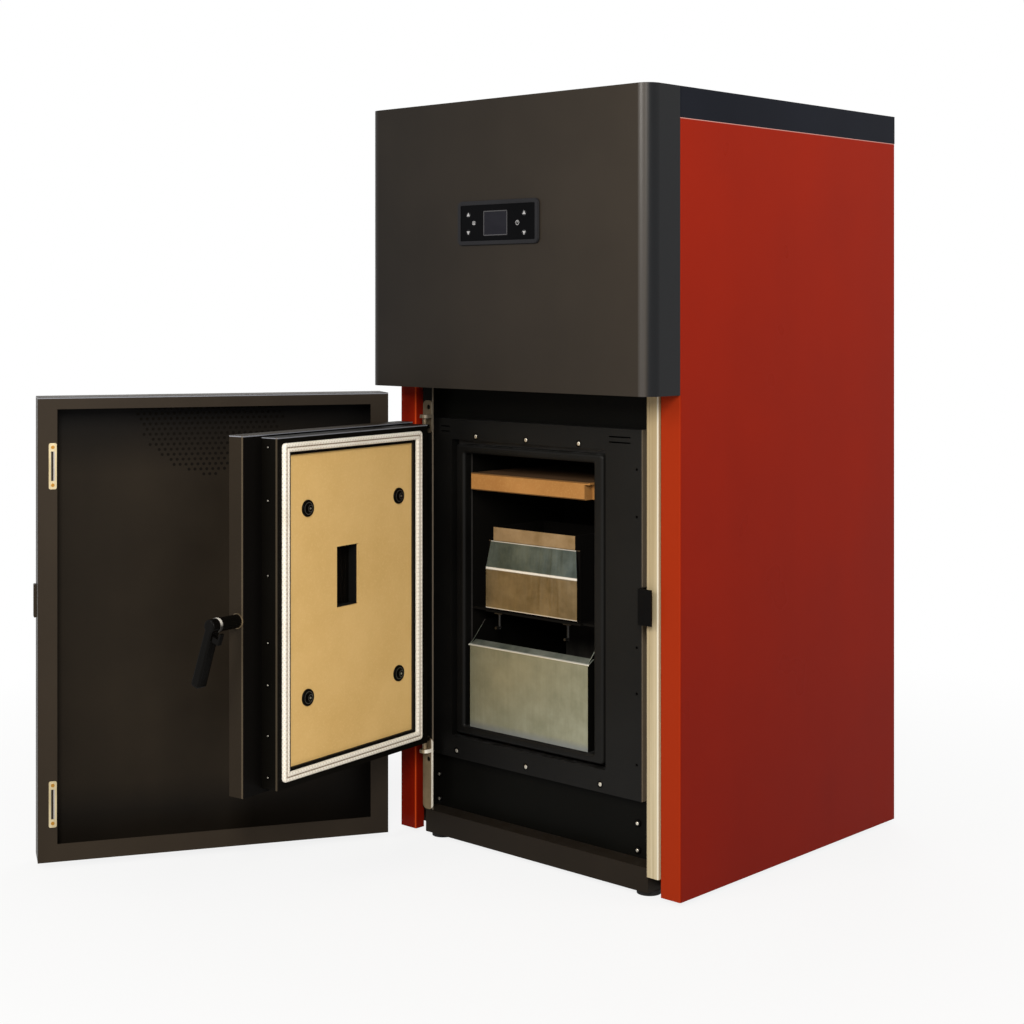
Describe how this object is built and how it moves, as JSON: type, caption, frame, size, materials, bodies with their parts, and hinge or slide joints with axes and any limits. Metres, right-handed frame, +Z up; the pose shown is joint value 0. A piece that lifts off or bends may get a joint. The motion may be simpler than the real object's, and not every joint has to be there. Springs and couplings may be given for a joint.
{
  "type": "pellet boiler",
  "caption": "Floor-standing pellet boiler: red cabinet, black cowl with control panel, outer door and insulated fire door standing open on the firebox, burner and ash drawer.",
  "frame": {"origin": "on the floor, at the middle of the cabinet's width, in the front plane of the side panels", "axes": "+X to the right as seen from the front, +Y to the back, +Z up"},
  "size_m": [0.9662, 1.2782, 1.316],
  "materials": {
    "black_plinth": "satin black powder coat",
    "foot_rubber": "matt black",
    "red_paint": "satin red powder coat",
    "galvanised": "galvanised sheet",
    "black_lid": "satin black powder coat",
    "cowl_paint": "fine-texture anthracite powder coat",
    "panel_plastic": "matt black",
    "screen": "display window",
    "key_plastic": "matt dark grey",
    "black_steel": "heat-resistant black paint",
    "zinc": "zinc plated",
    "pale_strip": "cream coated",
    "boiler_steel": "sooty black steel",
    "vermiculite": "pressed vermiculite board",
    "stainless": "heat-tinted stainless sheet",
    "feed_steel": "plain steel",
    "motor_alloy": "cast and sheet alloy",
    "brass_pipe": "brass pipe",
    "inlet_plastic": "matt black",
    "door_paint": "fine-texture anthracite powder coat",
    "rope": "braided glass-fibre rope",
    "black_bolt": "blackened steel",
    "sight_pane": "ceramic glass pane",
    "handle_black": "black moulded handle",
    "collar_pale": "pale nylon ring",
    "magnet_brass": "brass-coloured plate"
  },
  "bodies": {
    "cabinet": {"base_frame": "black_plinth", "levelling_feet": "foot_rubber", "side_panel_left": "red_paint", "side_panel_right": "red_paint", "back_panel": "galvanised", "hopper": "galvanised", "top_cover": "black_lid", "front_cowl": "cowl_paint", "control_panel": "panel_plastic", "control_screen": "screen", "front_shield": "black_steel", "door_frame": "black_steel", "neck_collar": "black_steel", "latch_catch": "black_steel", "outer_hinges": "black_steel", "left_jamb": "black_steel", "front_screws": "zinc", "inner_hinges": "zinc", "shelf_hooks": "zinc", "right_jamb": "pale_strip", "boiler_body": "boiler_steel", "firebox": "boiler_steel", "fire_tubes": "boiler_steel", "burner_pot": "boiler_steel", "flue_spigot": "boiler_steel", "baffle_board": "vermiculite", "igniter": "stainless", "burner_cover": "stainless", "auger_tube": "feed_steel", "feed_chute": "feed_steel", "auger_motor": "motor_alloy", "fan_housing": "motor_alloy", "fan_motor": "motor_alloy", "supply_pipe": "brass_pipe", "return_pipe": "brass_pipe", "power_inlet": "inlet_plastic"},
    "outer_door": {"outer_skin": "door_paint", "outer_liner": "door_paint", "door_magnets": "magnet_brass", "door_pull": "door_paint"},
    "inner_door": {"inner_pan": "door_paint", "inner_casing": "door_paint", "casing_rivets": "zinc", "door_gasket": "rope", "door_board": "vermiculite", "board_bolts": "black_bolt", "sight_glass": "sight_pane"},
    "handle": {"handle_lever": "handle_black", "handle_collar": "collar_pale"},
    "drawer": {"ash_drawer": "galvanised"},
    "lid": {"hopper_lid": "black_lid"},
    "auger": {"auger_screw": "feed_steel"},
    "fan": {"fan_wheel": "motor_alloy"},
    "rocker": {"mains_rocker": "inlet_plastic"},
    "key_left_up": {"key_left_up": "key_plastic"},
    "key_menu": {"key_menu": "key_plastic"},
    "key_left_down": {"key_left_down": "key_plastic"},
    "key_right_up": {"key_right_up": "key_plastic"},
    "key_power": {"key_power": "key_plastic"},
    "key_right_down": {"key_right_down": "key_plastic"}
  },
  "joints": [
    {"name": "outer_door_swing", "type": "hinge", "parent": "cabinet", "child": "outer_door", "pos_m": [-0.311, -0.039, 0.44], "axis": [0, 0, 1], "range_deg": [-5, 119.6]},
    {"name": "inner_door_swing", "type": "hinge", "parent": "cabinet", "child": "inner_door", "pos_m": [-0.248, -0.009, 0.44], "axis": [0, 0, 1], "range_deg": [-3.5, 82]},
    {"name": "handle_turn", "type": "hinge", "parent": "inner_door", "child": "handle", "pos_m": [-0.20484, -0.49573, 0.45], "axis": [0.1392, -0.9903, 0], "range_deg": [-70, 20]},
    {"name": "drawer_slide", "type": "slide", "parent": "cabinet", "child": "drawer", "axis": [0, 1, 0], "range_m": [-0.22, 0]},
    {"name": "lid_lift", "type": "hinge", "parent": "cabinet", "child": "lid", "pos_m": [0, 0.632, 1.305], "axis": [-1, 0, 0], "range_deg": [0, 85]},
    {"name": "auger_spin", "type": "hinge", "parent": "cabinet", "child": "auger", "pos_m": [-0.028, 0.56, 0.668], "axis": [0, -0.7419, 0.6705], "continuous": true},
    {"name": "fan_spin", "type": "hinge", "parent": "cabinet", "child": "fan", "pos_m": [-0.028, 0.42, 0.125], "axis": [0, 1, 0], "continuous": true},
    {"name": "rocker_tip", "type": "hinge", "parent": "cabinet", "child": "rocker", "pos_m": [0.235, 0.639, 0.215], "axis": [1, 0, 0], "range_deg": [-8, 8]},
    {"name": "key_left_up_press", "type": "slide", "parent": "cabinet", "child": "key_left_up", "axis": [0, 1, 0], "range_m": [0, 0.0008], "stiffness_N_per_m": 800},
    {"name": "key_menu_press", "type": "slide", "parent": "cabinet", "child": "key_menu", "axis": [0, 1, 0], "range_m": [0, 0.0008], "stiffness_N_per_m": 800},
    {"name": "key_left_down_press", "type": "slide", "parent": "cabinet", "child": "key_left_down", "axis": [0, 1, 0], "range_m": [0, 0.0008], "stiffness_N_per_m": 800},
    {"name": "key_right_up_press", "type": "slide", "parent": "cabinet", "child": "key_right_up", "axis": [0, 1, 0], "range_m": [0, 0.0008], "stiffness_N_per_m": 800},
    {"name": "key_power_press", "type": "slide", "parent": "cabinet", "child": "key_power", "axis": [0, 1, 0], "range_m": [0, 0.0008], "stiffness_N_per_m": 800},
    {"name": "key_right_down_press", "type": "slide", "parent": "cabinet", "child": "key_right_down", "axis": [0, 1, 0], "range_m": [0, 0.0008], "stiffness_N_per_m": 800}
  ],
  "couplings": [
    {"joint": "inner_door_swing", "follows": "outer_door_swing", "ratio": 0.6856}
  ]
}
